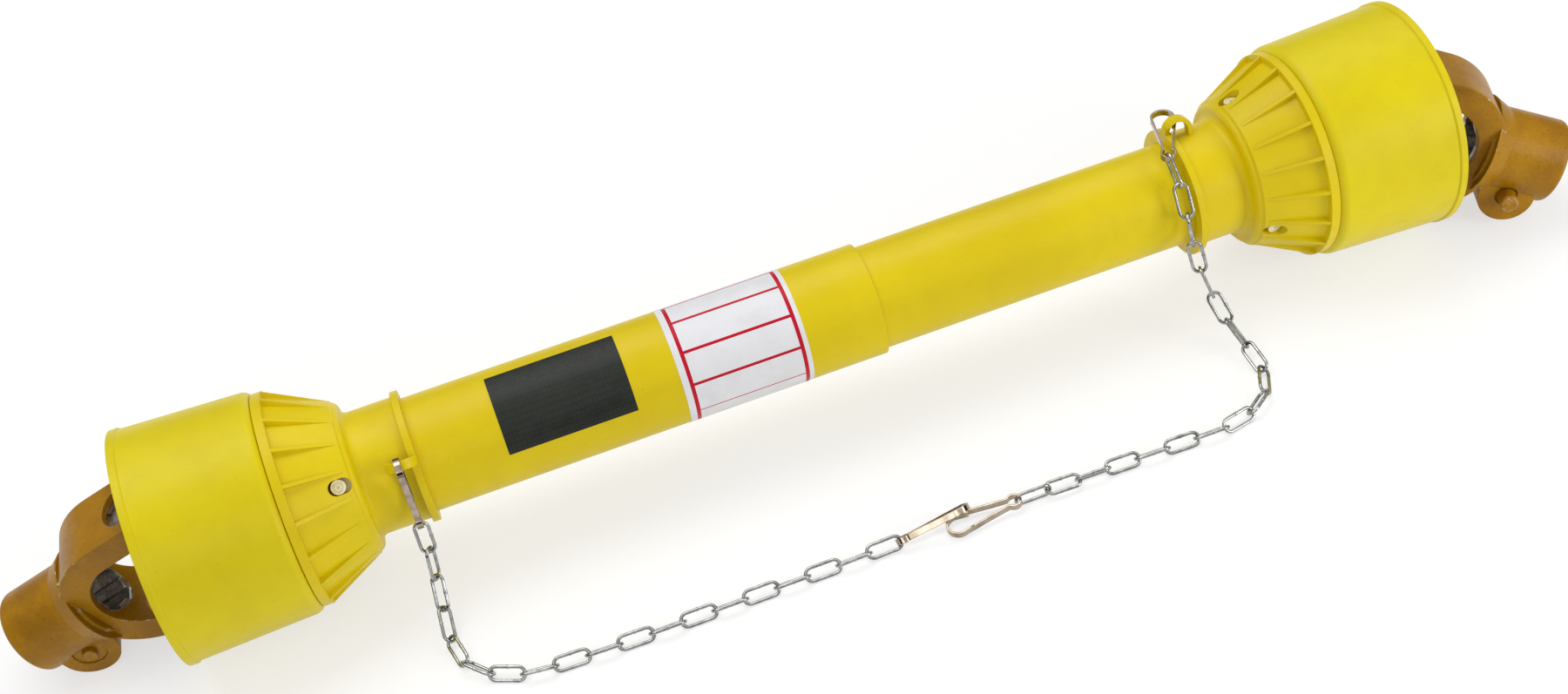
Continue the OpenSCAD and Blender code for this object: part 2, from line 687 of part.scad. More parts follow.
// Parameter on the stretch a to b that lies a pitch away from c.
function reach(c, a, b, p) =
    let (d = b - a, f = a - c, aa = d * d, bb = 2 * f * d, cc = f * f - p * p, disc = bb * bb - 4 * aa * cc)
    disc < 0 ? -1 : (-bb + sqrt(disc)) / (2 * aa);
function next_on(route, c, i, p) =
    let (t = reach(c, route[i], route[i + 1], p))
    t >= 0 && t <= 1 ? [route[i] + t * (route[i + 1] - route[i]), i] : next_on(route, c, i + 1, p);
function steps_on(route, n, p, c, i) =
    n == 0 ? [c] : let (q = next_on(route, c, i, p)) concat([c], steps_on(route, n - 1, p, q[0], q[1]));
left_joints = steps_on(left_route, left_links, pitch, left_route[0], 0);
right_joints = steps_on(right_route, right_links, pitch, right_route[0], 0);

// Every other link stands across its neighbours. The chain hangs square to its
// clip, lies at 45 degrees on the surface and may twist again at its end.
module chain(joints, first_roll, end_twist) {
    n = len(joints) - 1;
    twist_links = 3;
    color(steel) for (i = [0:n - 1])
        along(joints[i], joints[i + 1], first_roll + 90 * (i % 2) + 45 * min(1, i / twist_links)
            + end_twist * max(0, 1 - (n - 1 - i) / twist_links)) link();
}

// A clip with its narrow eye round the end of a chain, pointing away from "wide".
module clip_between(wide, eye, roll) {
    d = eye - wide;
    u = d / norm(d);
    translate(eye + u * (link_seat - clip_in)) rotate([0, acos(u.z) - 90, atan2(u.y, u.x)]) rotate([roll, 0, 0]) clip();
}

left_end_joint = left_joints[left_links];
right_end_joint = right_joints[right_links];

module outer_guard_tube() {
    color(plastic) left_end() difference() {
        disc(guard_r, cone_end + tube_seat, cone_end + tube_seat + guard_len);
        disc(guard_bore, cone_end, cone_end + tube_seat + guard_len + over);
    }
}
module inner_guard_tube() {
    color(plastic) right_end() difference() {
        disc(inner_guard_r, cone_end + tube_seat, cone_end + tube_seat + inner_guard_len);
        disc(inner_guard_r - inner_guard_wall, cone_end, cone_end + tube_seat + inner_guard_len + over);
    }
}
module bell_left() { left_end() bell(); }
module bell_right() { right_end() bell(); }
module cone_left() { left_end() cone(left_neck_r, guard_r, 90 - left_loop_a, 90 - left_loop_a); }
module cone_right() { right_end() cone(right_neck_r, inner_guard_r, right_loop_a - 90, right_loop_a - 90); }
module bearing_ring_left() { left_end() bearing_ring(90 - left_loop_a); }
module bearing_ring_right() { right_end() bearing_ring(right_loop_a - 90); }
module outer_drive_tube() { left_end() drive_tube(0, drive_len); }
module inner_drive_tube() { right_end() mirror([0, 1, 0]) drive_tube(small_inset, inner_drive_len); }
module inner_yoke_left() { left_end() inner_yoke(0); }
module inner_yoke_right() { right_end() mirror([0, 1, 0]) inner_yoke(small_inset); }
module roll_pin_left() { left_end() roll_pin(); }
module roll_pin_right() { right_end() roll_pin(); }
module caps_inner_left() { left_end() rotate([90, 0, 0]) cap_pair(); }
module caps_inner_right() { right_end() rotate([90, 0, 0]) cap_pair(); }
module circlips_inner_left() { left_end() rotate([90, 0, 0]) circlip_pair(); }
module circlips_inner_right() { right_end() rotate([90, 0, 0]) circlip_pair(); }

// The end yokes hang from their crosses until the boss meets the surface.
module left_cross_frame() { left_end() rotate([0, 0, 180]) rotate([0, left_lean, 0]) children(); }
module right_cross_frame() { right_end() rotate([0, 0, 180]) rotate([0, right_lean, 0]) children(); }
module left_yoke_frame() { left_cross_frame() rotate([0, 0, -left_yaw]) children(); }
module right_yoke_frame() { right_cross_frame() rotate([0, 0, right_yaw]) children(); }
module cross_left() { left_cross_frame() cross(); }
module cross_right() { right_cross_frame() cross(); }
module grease_nipple_left() { left_cross_frame() grease_nipple(); }
module grease_nipple_right() { right_cross_frame() grease_nipple(); }
module caps_outer_left() { left_yoke_frame() cap_pair(); }
module caps_outer_right() { right_yoke_frame() cap_pair(); }
module circlips_outer_left() { left_yoke_frame() circlip_pair(); }
module circlips_outer_right() { right_yoke_frame() circlip_pair(); }
module end_yoke_left() { left_yoke_frame() end_yoke(); }
module end_yoke_right() { right_yoke_frame() end_yoke(); }
module push_pin_left() { left_yoke_frame() push_pin(); }
module push_pin_right() { right_yoke_frame() push_pin(); }
module pin_spring_left() { left_yoke_frame() pin_spring(); }
module pin_spring_right() { right_yoke_frame() pin_spring(); }
module pin_washer_left() { left_yoke_frame() pin_washer(); }
module pin_washer_right() { right_yoke_frame() pin_washer(); }

module chain_left() { shaft_frame() chain(left_joints, 0, 0); }
module chain_right() { shaft_frame() chain(right_joints, 90, 45); }
module collar_clip_left() { shaft_frame() clip_between(left_strap, left_eye, 90); }
module collar_clip_right() { shaft_frame() clip_between(right_wide, right_hook, 0); }
module end_clip_left() { shaft_frame() clip_between(left_end_joint + [clip_in, 0, 10], left_end_joint, 45); }
module end_clip_right() { shaft_frame() clip_between(right_end_joint + [-clip_in, 0, -3.3], right_end_joint, 0); }

outer_guard_tube();
inner_guard_tube();
bell_left();
bell_right();
cone_left();
cone_right();
bearing_ring_left();
bearing_ring_right();
outer_drive_tube();
inner_drive_tube();
inner_yoke_left();
inner_yoke_right();
roll_pin_left();
roll_pin_right();
cross_left();
cross_right();
caps_inner_left();
caps_outer_left();
caps_inner_right();
caps_outer_right();
circlips_inner_left();
circlips_outer_left();
circlips_inner_right();
circlips_outer_right();
grease_nipple_left();
grease_nipple_right();
end_yoke_left();
end_yoke_right();
push_pin_left();
push_pin_right();
pin_spring_left();
pin_spring_right();
pin_washer_left();
pin_washer_right();
chain_left();
chain_right();
collar_clip_left();
collar_clip_right();
end_clip_left();
end_clip_right();
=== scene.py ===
import math

import bmesh
import bpy
from mathutils import Matrix, Vector


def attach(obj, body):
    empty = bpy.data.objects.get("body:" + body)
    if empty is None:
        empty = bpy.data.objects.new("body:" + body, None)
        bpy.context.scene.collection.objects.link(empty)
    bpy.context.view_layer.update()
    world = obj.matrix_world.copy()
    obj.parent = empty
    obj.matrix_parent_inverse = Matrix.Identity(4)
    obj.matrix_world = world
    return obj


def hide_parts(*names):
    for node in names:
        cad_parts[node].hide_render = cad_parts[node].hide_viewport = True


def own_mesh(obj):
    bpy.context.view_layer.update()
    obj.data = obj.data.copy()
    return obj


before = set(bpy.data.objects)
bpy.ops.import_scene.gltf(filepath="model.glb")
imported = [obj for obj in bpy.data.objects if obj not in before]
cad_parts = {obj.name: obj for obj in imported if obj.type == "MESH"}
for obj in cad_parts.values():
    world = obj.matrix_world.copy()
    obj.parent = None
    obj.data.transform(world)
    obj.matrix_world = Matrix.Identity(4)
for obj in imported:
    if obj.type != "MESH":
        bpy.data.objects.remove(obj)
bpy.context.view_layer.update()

# The shaft's own places, in metres. Both joints lie on one axis along X, and
# each end yoke leans down from its cross and is swung a little to the side.
# pin_drop is where a push pin's line crosses its yoke, in the yoke's own frame.
AXIS_Y, AXIS_Z = 0.035, 0.075
LEFT_JOINT = Vector((-0.403, AXIS_Y, AXIS_Z))
RIGHT_JOINT = Vector((0.409, AXIS_Y, AXIS_Z))
GUARD_RADIUS = 0.0363
LEFT_LEAN, LEFT_SWING = 23.2527, -6
RIGHT_LEAN, RIGHT_SWING = 23.6122, -23
left_yoke_turn = (Matrix.Rotation(math.pi, 3, "Z")
                  @ Matrix.Rotation(math.radians(LEFT_LEAN), 3, "Y")
                  @ Matrix.Rotation(math.radians(LEFT_SWING), 3, "Z"))
right_yoke_turn = (Matrix.Rotation(math.radians(RIGHT_LEAN), 3, "Y")
                   @ Matrix.Rotation(math.radians(RIGHT_SWING), 3, "Z"))
pin_drop = Vector((0.090, 0.0, -0.022))


# The camera stands in front of the shaft and above it, rolled so that the
# shaft climbs to the right. Its place and lens were fitted to the photograph.
camera_data = bpy.data.cameras.new("camera")
camera_data.lens = 48.74
camera_data.sensor_width = 36.0
camera_data.sensor_fit = "HORIZONTAL"
camera_data.clip_end = 50.0
camera = bpy.data.objects.new("camera", camera_data)
bpy.context.scene.collection.objects.link(camera)
camera.matrix_world = Matrix((
    (0.935687, 0.326758, -0.133115, -0.1924),
    (-0.320717, 0.630396, -0.706927, -0.9145),
    (-0.147082, 0.704152, 0.694654, 0.9920),
    (0.0, 0.0, 0.0, 1.0)))
bpy.context.scene.camera = camera
bpy.context.scene.render.resolution_x = 1800
bpy.context.scene.render.resolution_y = 797
bpy.context.scene.view_settings.view_transform = "Standard"


# Sums on a Signal add Math nodes, so a material's masks read as arithmetic.
# Finish.put adds any other node: its settings first, then its sockets.
class Signal:
    def __init__(self, finish, socket):
        self.finish = finish
        self.socket = socket

    def _sum(self, operation, first, second):
        return self.finish.put("ShaderNodeMath", {"operation": operation}, {0: first, 1: second})

    def __add__(self, other):
        return self._sum("ADD", self, other)

    __radd__ = __add__

    def __sub__(self, other):
        return self._sum("SUBTRACT", self, other)

    def __rsub__(self, other):
        return self._sum("SUBTRACT", other, self)

    def __mul__(self, other):
        return self._sum("MULTIPLY", self, other)

    __rmul__ = __mul__

    def most(self, other):
        return self._sum("MAXIMUM", self, other)

    def ramp(self, low, high, to_low=0.0, to_high=1.0):
        return self.finish.put("ShaderNodeMapRange", {"interpolation_type": "SMOOTHSTEP"},
                               {0: self, 1: low, 2: high, 3: to_low, 4: to_high})


class Finish:
    def __init__(self, name):
        self.material = bpy.data.materials.new(name)
        self.material.use_nodes = True
        self.tree = self.material.node_tree
        self.tree.nodes.clear()
        self.surface = self.tree.nodes.new("ShaderNodeBsdfPrincipled")
        out = self.tree.nodes.new("ShaderNodeOutputMaterial")
        self.tree.links.new(self.surface.outputs[0], out.inputs[0])
        self.place = self.put("ShaderNodeTexCoord", {}, {}, "Object")

    def fill(self, node, values):
        for key, value in values.items():
            if isinstance(value, Signal):
                self.tree.links.new(value.socket, node.inputs[key])
            else:
                node.inputs[key].default_value = value

    def put(self, kind, settings, values, output=0):
        node = self.tree.nodes.new(kind)
        for key, value in settings.items():
            setattr(node, key, value)
        self.fill(node, values)
        return Signal(self, node.outputs[output])

    def noise(self, scale, detail=2.0, roughness=0.5, place=None):
        return self.put("ShaderNodeTexNoise", {}, {"Vector": place or self.place, "Scale": scale,
                                                   "Detail": detail, "Roughness": roughness})

    def stretched(self, scale):
        return self.put("ShaderNodeMapping", {}, {"Vector": self.place, "Scale": scale})

    def blend(self, amount, low, high):
        return self.put("ShaderNodeMix", {"data_type": "RGBA"}, {0: amount, 6: low, 7: high}, 2)

    def vector(self, operation, first, second, output=0):
        return self.put("ShaderNodeVectorMath", {"operation": operation},
                        {0: first, 1: second}, output)

    def length(self, arrow):
        return self.put("ShaderNodeVectorMath", {"operation": "LENGTH"}, {0: arrow}, "Value")

    def bump(self, height, strength, distance, under=None):
        values = {"Height": height, "Strength": strength, "Distance": distance}
        if under is not None:
            values["Normal"] = under
        return self.put("ShaderNodeBump", {}, values)

    def eased(self, radius):
        return self.put("ShaderNodeBevel", {"samples": 6}, {"Radius": radius})

    # Edge mask, from the gap between a rounded normal and the true one. It places worn chips, and
    # on the yokes a painted highlight.
    def edge_wear_and_highlight(self, rounded):
        true = self.put("ShaderNodeNewGeometry", {}, {}, "Normal")
        return 1.0 - self.vector("DOT_PRODUCT", rounded, true, "Value")

    def look(self, **values):
        self.fill(self.surface, {key.replace("_", " "): value for key, value in values.items()})
        return self.material


# Guard plastic: blow-moulded yellow polyethylene, with slow swings of tone, a
# fine pebble from the mould, a few lengthwise scuffs and small dark specks.
def guard_plastic(name, shade, light):
    f = Finish(name)
    drift = f.noise(9.0, 3.0)
    haze = f.noise(70.0, 4.0, 0.6)
    pebble = f.noise(1500.0, 2.0)
    flow = f.noise(1.0, 3.0, 0.6, f.stretched((14.0, 110.0, 110.0)))
    scuff = f.noise(1.0, 5.0, 0.7, f.stretched((60.0, 420.0, 420.0))).ramp(0.64, 0.72)
    speck = f.noise(620.0, 1.0).ramp(0.74, 0.78)
    tone = f.blend(drift.ramp(0.3, 0.7), shade, light)
    tone = f.blend(haze.ramp(0.35, 0.75) * 0.20, tone, (0.60, 0.44, 0.002, 1))
    tone = f.blend(scuff * 0.22, tone, (0.80, 0.70, 0.16, 1))
    tone = f.blend(speck * 0.30, tone, (0.34, 0.25, 0.02, 1))
    surface = f.bump(haze * 0.6 + flow * 0.5, 0.10, 0.0006, f.eased(0.0006))
    surface = f.bump(pebble, 0.16, 0.00012, surface)
    return f.look(Base_Color=tone, Roughness=0.36 + haze * 0.10 + scuff * 0.15, Normal=surface,
                  Subsurface_Weight=0.06, Subsurface_Radius=(0.004, 0.003, 0.0004),
                  Specular_IOR_Level=0.25)


# Natural nylon of the bearing rings and their lugs: cream, slightly waxy, and
# grimy in patches.
def bearing_nylon():
    f = Finish("bearing_nylon")
    grime = f.noise(240.0, 4.0, 0.65)
    tone = f.blend(grime.ramp(0.45, 0.75), (0.90, 0.83, 0.58, 1), (0.78, 0.65, 0.34, 1))
    return f.look(Base_Color=tone, Roughness=0.42 + grime * 0.15,
                  Normal=f.bump(grime, 0.08, 0.0003), Specular_IOR_Level=0.25,
                  Subsurface_Weight=0.1, Subsurface_Radius=(0.003, 0.002, 0.001))


# Yoke paint: thin ochre over a rough casting, chipped to bright metal on the edges, nicked and
# pitted elsewhere, with the machined bore left bare. A painted highlight of lighter ochre runs
# along the edges.
def yoke_paint(name, joint, turn, bare_radius, bare_from):
    f = Finish(name)
    axis = turn @ Vector((1, 0, 0))
    away = f.vector("SUBTRACT", f.place, tuple(joint))
    along = f.vector("DOT_PRODUCT", away, tuple(axis), "Value")
    across = f.vector("CROSS_PRODUCT", away, tuple(axis))
    inside = f.length(across).ramp(bare_radius, bare_radius + 0.0003, 1.0, 0.0)
    bore = inside * along.ramp(bare_from, bare_from + 0.001)
    patch = f.noise(35.0, 4.0, 0.6)
    casting = f.noise(420.0, 4.0, 0.6)
    grain = f.noise(1700.0, 2.0)
    rounded = f.eased(0.0016)
    edge = f.edge_wear_and_highlight(rounded).ramp(0.012, 0.12)
    fringe = f.noise(210.0, 6.0, 0.7)
    chip = (edge * 0.20 + fringe).ramp(0.775, 0.795)
    nick = f.noise(330.0, 3.0, 0.6).ramp(0.755, 0.77)
    bare = chip.most(nick * 0.8).most(bore)
    pit = f.noise(950.0, 2.0).ramp(0.66, 0.72)
    paint = f.blend(patch.ramp(0.3, 0.7), (0.310, 0.136, 0.000, 1), (0.430, 0.204, 0.000, 1))
    paint = f.blend(casting.ramp(0.5, 0.85) * 0.45, paint, (0.190, 0.078, 0.000, 1))
    # Painted highlight: lighter ochre along the edges, standing in for light caught there.
    paint = f.blend(edge * 0.35, paint, (0.600, 0.320, 0.010, 1))
    paint = f.blend(pit * 0.75, paint, (0.060, 0.026, 0.004, 1))
    metal = f.blend(fringe.ramp(0.35, 0.65), (0.30, 0.27, 0.24, 1), (0.58, 0.54, 0.48, 1))
    surface = f.bump(casting * 0.7 + patch * 0.5, 0.50, 0.0009, rounded)
    surface = f.bump(grain, 0.30, 0.00018, surface)
    surface = f.bump(1.0 - chip.most(pit * 0.6), 0.5, 0.00012, surface)
    return f.look(Base_Color=f.blend(bare, paint, metal), Metallic=bare * 0.92,
                  Roughness=0.30 + casting * 0.14 - bare * 0.04, Normal=surface,
                  Specular_IOR_Level=0.24)


# Push pins and their washers carry the same paint. It is rubbed bright on the
# pin's button, the end that is pushed, and a little along its edges.
def pin_paint(name, centre, push):
    f = Finish(name)
    away = f.vector("SUBTRACT", f.place, tuple(centre))
    along = f.vector("DOT_PRODUCT", away, tuple(push), "Value")
    scrape = f.noise(260.0, 5.0, 0.7)
    rounded = f.eased(0.0008)
    button = along.ramp(-0.0325, -0.0300, 1.0, 0.0)
    edge = f.edge_wear_and_highlight(rounded).ramp(0.01, 0.1)
    tip = (button * 0.16 + edge * 0.22 + scrape).ramp(0.72, 0.78)
    paint = f.blend(scrape.ramp(0.3, 0.7), (0.33, 0.145, 0.000, 1), (0.44, 0.205, 0.001, 1))
    return f.look(Base_Color=f.blend(tip, paint, (0.50, 0.46, 0.40, 1)), Metallic=tip * 0.9,
                  Roughness=0.38 + scrape * 0.12, Normal=f.bump(scrape, 0.15, 0.0004, rounded),
                  Specular_IOR_Level=0.32)


# Zinc plate on the chain and its welds: a cloudy grey silver, nearly a mirror,
# with small dark rubbed spots.
def chain_zinc():
    f = Finish("chain_zinc")
    cloud = f.noise(160.0, 4.0, 0.6)
    rub = f.noise(900.0, 3.0, 0.6)
    tone = f.blend(cloud.ramp(0.3, 0.7), (0.25, 0.26, 0.26, 1), (0.46, 0.47, 0.46, 1))
    tone = f.blend(rub.ramp(0.55, 0.70) * 0.6, tone, (0.11, 0.10, 0.08, 1))
    return f.look(Base_Color=tone, Metallic=1.0, Roughness=0.08 + cloud * 0.10 + rub * 0.06,
                  Normal=f.bump(rub + cloud * 0.5, 0.10, 0.0002))


# Nickel on the spring strip of the clips: warm, unevenly tarnished, with fine
# drawing lines.
def clip_nickel():
    f = Finish("clip_nickel")
    stain = f.noise(130.0, 4.0, 0.6)
    hair = f.noise(1.0, 2.0, 0.5, f.stretched((2600.0, 300.0, 2600.0)))
    tone = f.blend(stain.ramp(0.35, 0.7), (0.44, 0.37, 0.29, 1), (0.27, 0.21, 0.15, 1))
    return f.look(Base_Color=tone, Metallic=1.0, Roughness=0.06 + stain * 0.10 + hair * 0.04,
                  Normal=f.bump(hair, 0.06, 0.0001, f.eased(0.0007)))


# Ground steel of crosses, caps, circlips, springs and spring pins, with a
# brown film of old grease.
def joint_steel():
    f = Finish("joint_steel")
    film = f.noise(95.0, 5.0, 0.65)
    turned = f.noise(1800.0, 2.0)
    tone = f.blend(film.ramp(0.42, 0.7), (0.44, 0.42, 0.39, 1), (0.16, 0.115, 0.070, 1))
    return f.look(Base_Color=tone, Metallic=1.0 - film.ramp(0.5, 0.75) * 0.45,
                  Roughness=0.26 + film * 0.22, Normal=f.bump(turned + film, 0.08, 0.0002))


# Drawn drive tubes: dark mill scale, bright in streaks where the two profiles
# slide one in the other.
def drive_tube_steel():
    f = Finish("drive_tube_steel")
    streak = f.noise(1.0, 4.0, 0.6, f.stretched((16.0, 360.0, 360.0)))
    scale = f.noise(120.0, 4.0, 0.6)
    tone = f.blend(streak.ramp(0.45, 0.65), (0.20, 0.19, 0.18, 1), (0.50, 0.49, 0.47, 1))
    return f.look(Base_Color=tone, Metallic=0.95, Roughness=0.26 + scale * 0.2,
                  Normal=f.bump(streak + scale * 0.5, 0.12, 0.0003))


# The grease nipples on the crosses: yellow passivated, and darker in patches
# under a film of grease.
def nipple_brass():
    f = Finish("nipple_brass")
    film = f.noise(500.0, 3.0)
    tone = f.blend(film.ramp(0.4, 0.7), (0.62, 0.46, 0.18, 1), (0.30, 0.22, 0.10, 1))
    return f.look(Base_Color=tone, Metallic=1.0, Roughness=0.28 + film * 0.1,
                  Normal=f.bump(film, 0.05, 0.0002))


# Which finish each carried-over node gets. A yoke's bare part is given by its
# radius and by how far from the joint it starts: the splined bore of an end
# yoke, and the drive tube's socket in an inner yoke.
bell_plastic = guard_plastic("bell_plastic", (0.69, 0.560, 0.000, 1), (0.75, 0.620, 0.001, 1))
tube_plastic = guard_plastic("tube_plastic", (0.70, 0.530, 0.000, 1), (0.77, 0.600, 0.001, 1))
nylon = bearing_nylon()
zinc = chain_zinc()
nickel = clip_nickel()
steel = joint_steel()
tube_steel = drive_tube_steel()
brass = nipple_brass()
spline_bore = {"bare_radius": 0.0181, "bare_from": 0.043}
tube_socket = {"bare_radius": 0.0240, "bare_from": 0.0725}
node_finish = {}
for side, joint, end_turn, inner_turn in (
        ("left", LEFT_JOINT, left_yoke_turn, Matrix.Identity(3)),
        ("right", RIGHT_JOINT, right_yoke_turn, Matrix.Rotation(math.pi, 3, "Z"))):
    node_finish["end_yoke_" + side] = yoke_paint(
        "yoke_paint_end_" + side, joint, end_turn, **spline_bore)
    node_finish["inner_yoke_" + side] = yoke_paint(
        "yoke_paint_inner_" + side, joint, inner_turn, **tube_socket)
    pins = pin_paint("pin_paint_" + side, joint + end_turn @ pin_drop,
                     end_turn @ Vector((0, 1, 0)))
    node_finish["push_pin_" + side] = pins
    node_finish["pin_washer_" + side] = pins
    node_finish["bell_" + side] = bell_plastic
    node_finish["cone_" + side] = tube_plastic
    node_finish["bearing_ring_" + side] = nylon
    node_finish["chain_" + side] = zinc
    node_finish["collar_clip_" + side] = nickel
    node_finish["end_clip_" + side] = nickel
    node_finish["grease_nipple_" + side] = brass
    for kind in ("cross", "pin_spring", "roll_pin", "caps_inner", "caps_outer",
                 "circlips_inner", "circlips_outer"):
        node_finish[kind + "_" + side] = steel
for layer in ("outer", "inner"):
    node_finish[layer + "_guard_tube"] = tube_plastic
    node_finish[layer + "_drive_tube"] = tube_steel
for name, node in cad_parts.items():
    node.data.materials.clear()
    node.data.materials.append(node_finish[name])


# Stickers on the outer guard tube: thin films wrapped round it. Angles are in
# degrees, from straight in front upwards, and each film has its own map, with
# the wrap in U and the length of the shaft in V.
def sticker(name, start_x, end_x, low_angle, high_angle, material):
    mesh = bpy.data.meshes.new(name)
    bm = bmesh.new()
    gap, film = 0.00003, 0.00015
    radius = GUARD_RADIUS + gap
    low = math.radians(low_angle)
    ends = [bm.verts.new((x, AXIS_Y - radius * math.cos(low), AXIS_Z + radius * math.sin(low)))
            for x in (start_x, end_x)]
    line = bm.edges.new(ends)
    bmesh.ops.subdivide_edges(bm, edges=[line], cuts=7)
    bmesh.ops.spin(bm, geom=bm.verts[:] + bm.edges[:], cent=(0, AXIS_Y, AXIS_Z), axis=(-1, 0, 0),
                   dvec=(0, 0, 0), angle=math.radians(high_angle - low_angle), steps=56)
    bmesh.ops.remove_doubles(bm, verts=bm.verts, dist=1e-6)
    bmesh.ops.recalc_face_normals(bm, faces=bm.faces)
    middle = math.radians((low_angle + high_angle) / 2)
    outward = Vector((0, -math.cos(middle), math.sin(middle)))
    if sum(face.normal.dot(outward) for face in bm.faces) < 0:
        bmesh.ops.reverse_faces(bm, faces=bm.faces)
    bmesh.ops.solidify(bm, geom=bm.faces[:], thickness=-film)
    layer = bm.loops.layers.uv.new("wrap")
    for face in bm.faces:
        for loop in face.loops:
            p = loop.vert.co
            angle = math.degrees(math.atan2(p.z - AXIS_Z, AXIS_Y - p.y))
            loop[layer].uv = ((angle - low_angle) / (high_angle - low_angle),
                              (p.x - start_x) / (end_x - start_x))
    bm.to_mesh(mesh)
    bm.free()
    mesh.shade_smooth()
    mesh.set_sharp_from_angle(angle=math.radians(40))
    mesh.materials.append(material)
    piece = bpy.data.objects.new(name, mesh)
    bpy.context.scene.collection.objects.link(piece)
    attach(piece, "guard_outer")


# The dark film is nearly black and mottled, with a faint net of small cells
# and a few rubbed streaks.
def dark_film():
    f = Finish("dark_film")
    mottle = f.noise(55.0, 4.0, 0.6)
    rub = f.noise(1.0, 4.0, 0.65, f.stretched((60.0, 300.0, 300.0))).ramp(0.62, 0.72)
    cells = f.put("ShaderNodeTexVoronoi", {"feature": "DISTANCE_TO_EDGE"},
                  {"Vector": f.place, "Scale": 330.0, "Randomness": 0.25})
    tone = f.blend(mottle.ramp(0.3, 0.7), (0.015, 0.017, 0.013, 1), (0.022, 0.025, 0.020, 1))
    tone = f.blend(cells.ramp(0.03, 0.10, 0.5, 0.0), tone, (0.007, 0.008, 0.006, 1))
    tone = f.blend(rub * 0.25, tone, (0.075, 0.080, 0.070, 1))
    return f.look(Base_Color=tone, Roughness=0.40 + mottle * 0.12 + rub * 0.15,
                  Normal=f.bump(mottle, 0.06, 0.0004), Specular_IOR_Level=0.22)


# The white film is ruled in red: a broad frame and four rows, each line given
# by its place on the wrap and its half width, as shares of the film.
def ruled_film():
    f = Finish("ruled_film")
    wrap = f.put("ShaderNodeUVMap", {"uv_map": "wrap"}, {})
    across = f.put("ShaderNodeSeparateXYZ", {}, {0: wrap}, 0)
    along = f.put("ShaderNodeSeparateXYZ", {}, {0: wrap}, 1)

    def band(value, station, half_width):
        return f.put("ShaderNodeMath", {"operation": "COMPARE"},
                     {0: value, 1: station, 2: half_width})

    ruling = band(along, 0.068, 0.0155).most(band(along, 0.948, 0.0155))
    for station, half_width in ((0.035, 0.0074), (0.238, 0.0034), (0.406, 0.0074), (0.569, 0.0074),
                                (0.738, 0.0074), (0.906, 0.0074)):
        ruling = ruling.most(band(across, station, half_width))
    inside = band(along, 0.508, 0.4555) * band(across, 0.4705, 0.4429)
    mottle = f.noise(60.0, 4.0, 0.6)
    tone = f.blend(mottle.ramp(0.35, 0.75), (0.80, 0.80, 0.83, 1), (0.74, 0.74, 0.76, 1))
    tone = f.blend(ruling * inside, tone, (0.52, 0.002, 0.018, 1))
    return f.look(Base_Color=tone, Roughness=0.36 + mottle * 0.12,
                  Normal=f.bump(mottle, 0.05, 0.0004), Specular_IOR_Level=0.20)


sticker("dark_sticker", start_x=LEFT_JOINT.x + 0.2050, end_x=LEFT_JOINT.x + 0.2870,
        low_angle=14, high_angle=100, material=dark_film())
sticker("ruled_sticker", start_x=LEFT_JOINT.x + 0.3170, end_x=LEFT_JOINT.x + 0.3985,
        low_angle=-62, high_angle=140, material=ruled_film())


# A weld on one leg of every link: a low bead round the wire, on whichever leg
# lies higher, or on the front one where both lie level. Links are told apart
# as the loose pieces of the chain's mesh.
def weld_beads(chain_name, body):
    leg_offset, bead_radius, bead_length, rounding = 0.0042, 0.00128, 0.0017, 0.00035
    leg_reach = 0.0075
    upper_side = Vector((0.003, -0.010, 1.0))
    source = bmesh.new()
    source.from_mesh(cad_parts[chain_name].data)
    bmesh.ops.remove_doubles(source, verts=source.verts, dist=1e-6)
    beads = bmesh.new()
    waiting = dict.fromkeys(source.verts)
    while waiting:
        link, reached = [], [next(iter(waiting))]
        del waiting[reached[0]]
        while reached:
            vert = reached.pop()
            link.append(vert.co.copy())
            for edge in vert.link_edges:
                other = edge.other_vert(vert)
                if other in waiting:
                    del waiting[other]
                    reached.append(other)
        middle = sum(link, Vector()) / len(link)
        spread = [co - middle for co in link]
        length_way = max(spread, key=lambda v: v.length).normalized()
        flanks = [v - length_way * v.dot(length_way) for v in spread
                  if abs(v.dot(length_way)) < leg_reach]
        width_way = max(flanks, key=lambda v: v.length).normalized()
        if width_way.dot(upper_side) < 0:
            width_way.negate()
        turn = length_way.to_track_quat("Z", "Y").to_matrix().to_4x4()
        turn.translation = middle + width_way * leg_offset
        made = bmesh.ops.create_cone(beads, cap_ends=True, segments=20, radius1=bead_radius,
                                     radius2=bead_radius, depth=bead_length, matrix=turn)["verts"]
        rims = dict.fromkeys(
            edge for vert in made for edge in vert.link_edges
            if abs((edge.verts[0].co - edge.verts[1].co).dot(length_way)) < bead_length / 2)
        bmesh.ops.bevel(beads, geom=list(rims), offset=rounding, offset_type="OFFSET",
                        affect="EDGES", segments=3, profile=0.5, material=-1)
    mesh = bpy.data.meshes.new("welds_" + chain_name)
    beads.to_mesh(mesh)
    beads.free()
    source.free()
    mesh.shade_smooth()
    mesh.materials.append(zinc)
    piece = bpy.data.objects.new("welds_" + chain_name, mesh)
    bpy.context.scene.collection.objects.link(piece)
    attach(piece, body)


weld_beads("chain_left", "guard_outer")
weld_beads("chain_right", "guard_inner")


